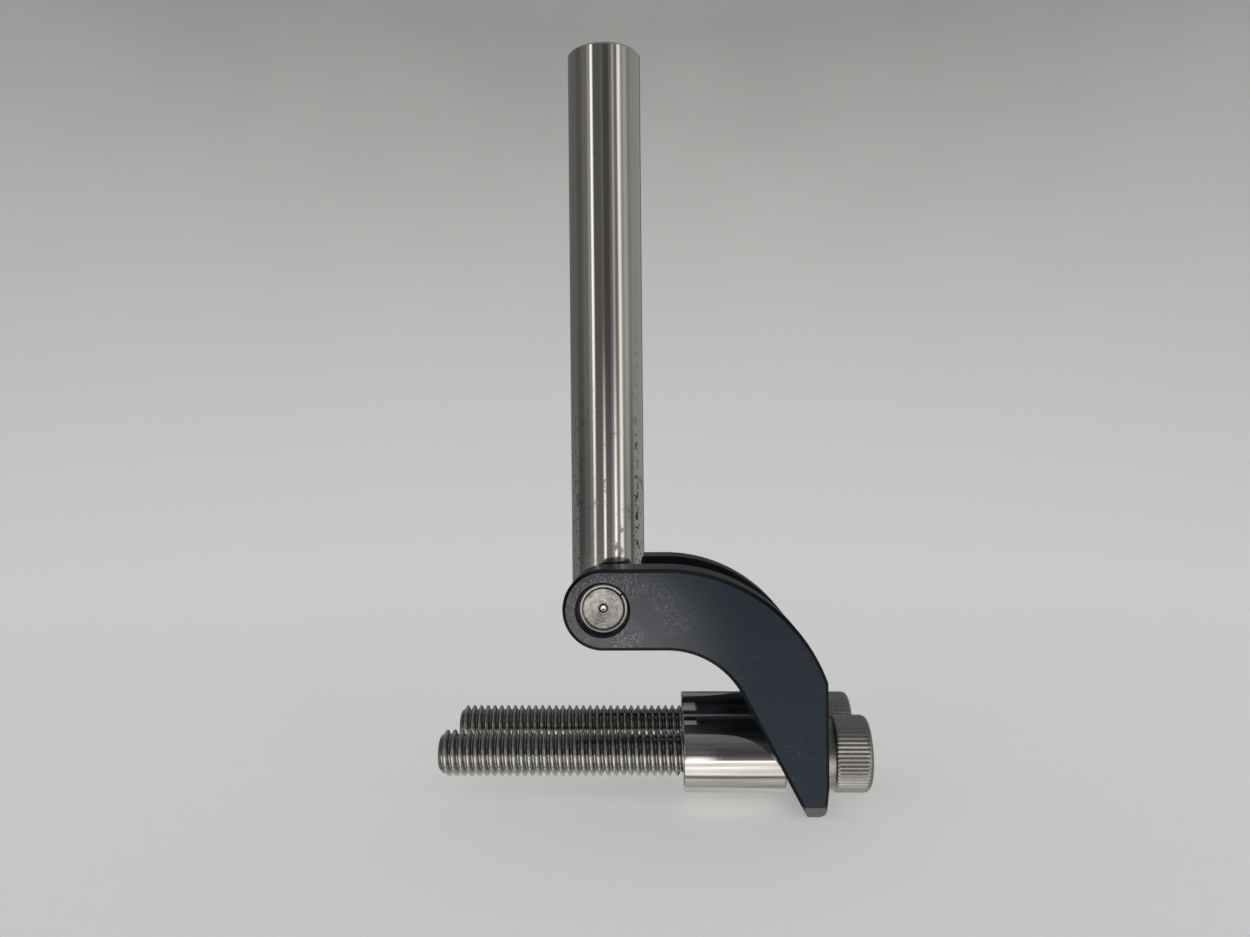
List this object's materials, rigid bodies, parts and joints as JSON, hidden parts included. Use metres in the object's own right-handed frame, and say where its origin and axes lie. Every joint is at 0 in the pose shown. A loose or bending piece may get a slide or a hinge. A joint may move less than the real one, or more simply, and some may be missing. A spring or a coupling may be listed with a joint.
{
  "type": "hinged spool holder rod",
  "caption": "Hinged spool holder: a steel rod pinned in a black fork bracket that is bolted to a panel edge with cap screws through spacer sleeves.",
  "frame": {"origin": "midway between the two screw axes, on the plane of the spacers' free end faces, which rests against the panel", "axes": "+X along the screws from the panel outwards to the screw heads; +Y along the hinge pin; +Z along the upright rod, from the pivot to the rod's free end"},
  "size_m": [0.056, 0.028, 0.1016],
  "materials": {
    "black_anodised": "satin black anodised",
    "ground_rod": "ground and polished stainless",
    "turned_pin": "turned",
    "black_acetal": "matte",
    "spring_wire": "drawn wire",
    "polished_sleeve": "polished stainless",
    "stainless_screw": "dull stainless"
  },
  "bodies": {
    "bracket": {"fork_bracket": "black_anodised", "pivot_pin": "turned_pin", "thrust_washer_front": "black_acetal", "thrust_washer_rear": "black_acetal", "snap_ring_front": "spring_wire", "snap_ring_rear": "spring_wire", "spacer_front": "polished_sleeve", "spacer_rear": "polished_sleeve", "cap_screw_front": "stainless_screw", "cap_screw_rear": "stainless_screw"},
    "rod": {"rod": "ground_rod"}
  },
  "joints": [
    {"name": "rod_hinge", "type": "hinge", "parent": "bracket", "child": "rod", "pos_m": [-0.01, 0, 0.0197], "axis": [0, 1, 0], "range_deg": [-90, 90]}
  ]
}
